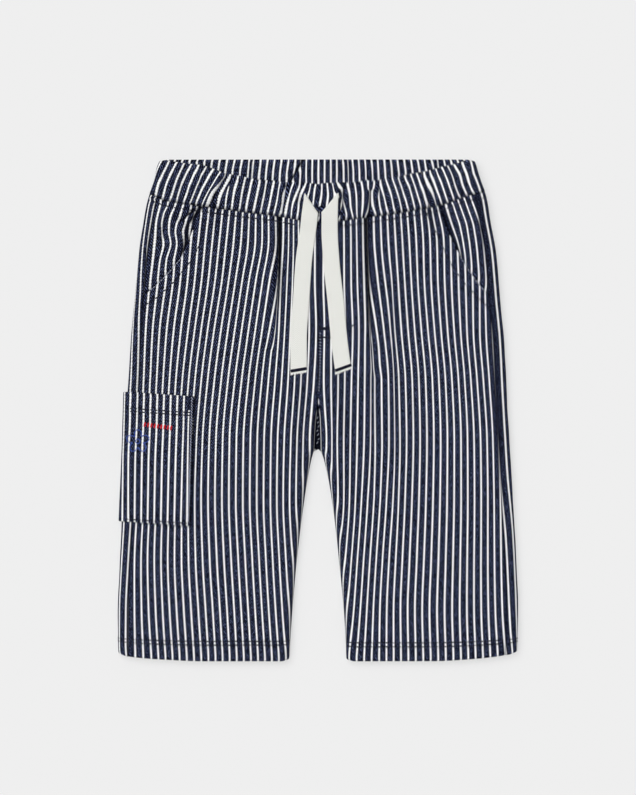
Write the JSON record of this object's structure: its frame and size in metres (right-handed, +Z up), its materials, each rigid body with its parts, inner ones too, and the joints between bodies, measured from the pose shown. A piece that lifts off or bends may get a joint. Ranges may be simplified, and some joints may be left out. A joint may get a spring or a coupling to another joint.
{
  "type": "drawstring trousers",
  "caption": "Baby's wide-leg trousers in striped twill, laid flat, with a gathered waistband, flat drawstring, slanted hip pockets and a cargo pocket.",
  "frame": {"origin": "under the middle of the outline, on the surface that the trousers lie on", "axes": "+X to the viewer's right, which is the wearer's left; +Y towards the waist; +Z up, out of the front"},
  "size_m": [0.2807, 0.3514, 0.0138],
  "materials": {
    "striped_twill": "navy and white striped cotton twill, matt",
    "cotton_tape": "off-white herringbone cotton tape, matt"
  },
  "bodies": {
    "root": {"front_panel_left": "striped_twill", "front_panel_right": "striped_twill", "back_panel_left": "striped_twill", "back_panel_right": "striped_twill", "hip_pocket_left": "striped_twill", "hip_pocket_right": "striped_twill", "waistband_front": "striped_twill", "waistband_back": "striped_twill", "cargo_pocket": "striped_twill", "drawstring_left": "cotton_tape", "drawstring_right": "cotton_tape"}
  },
  "joints": []
}
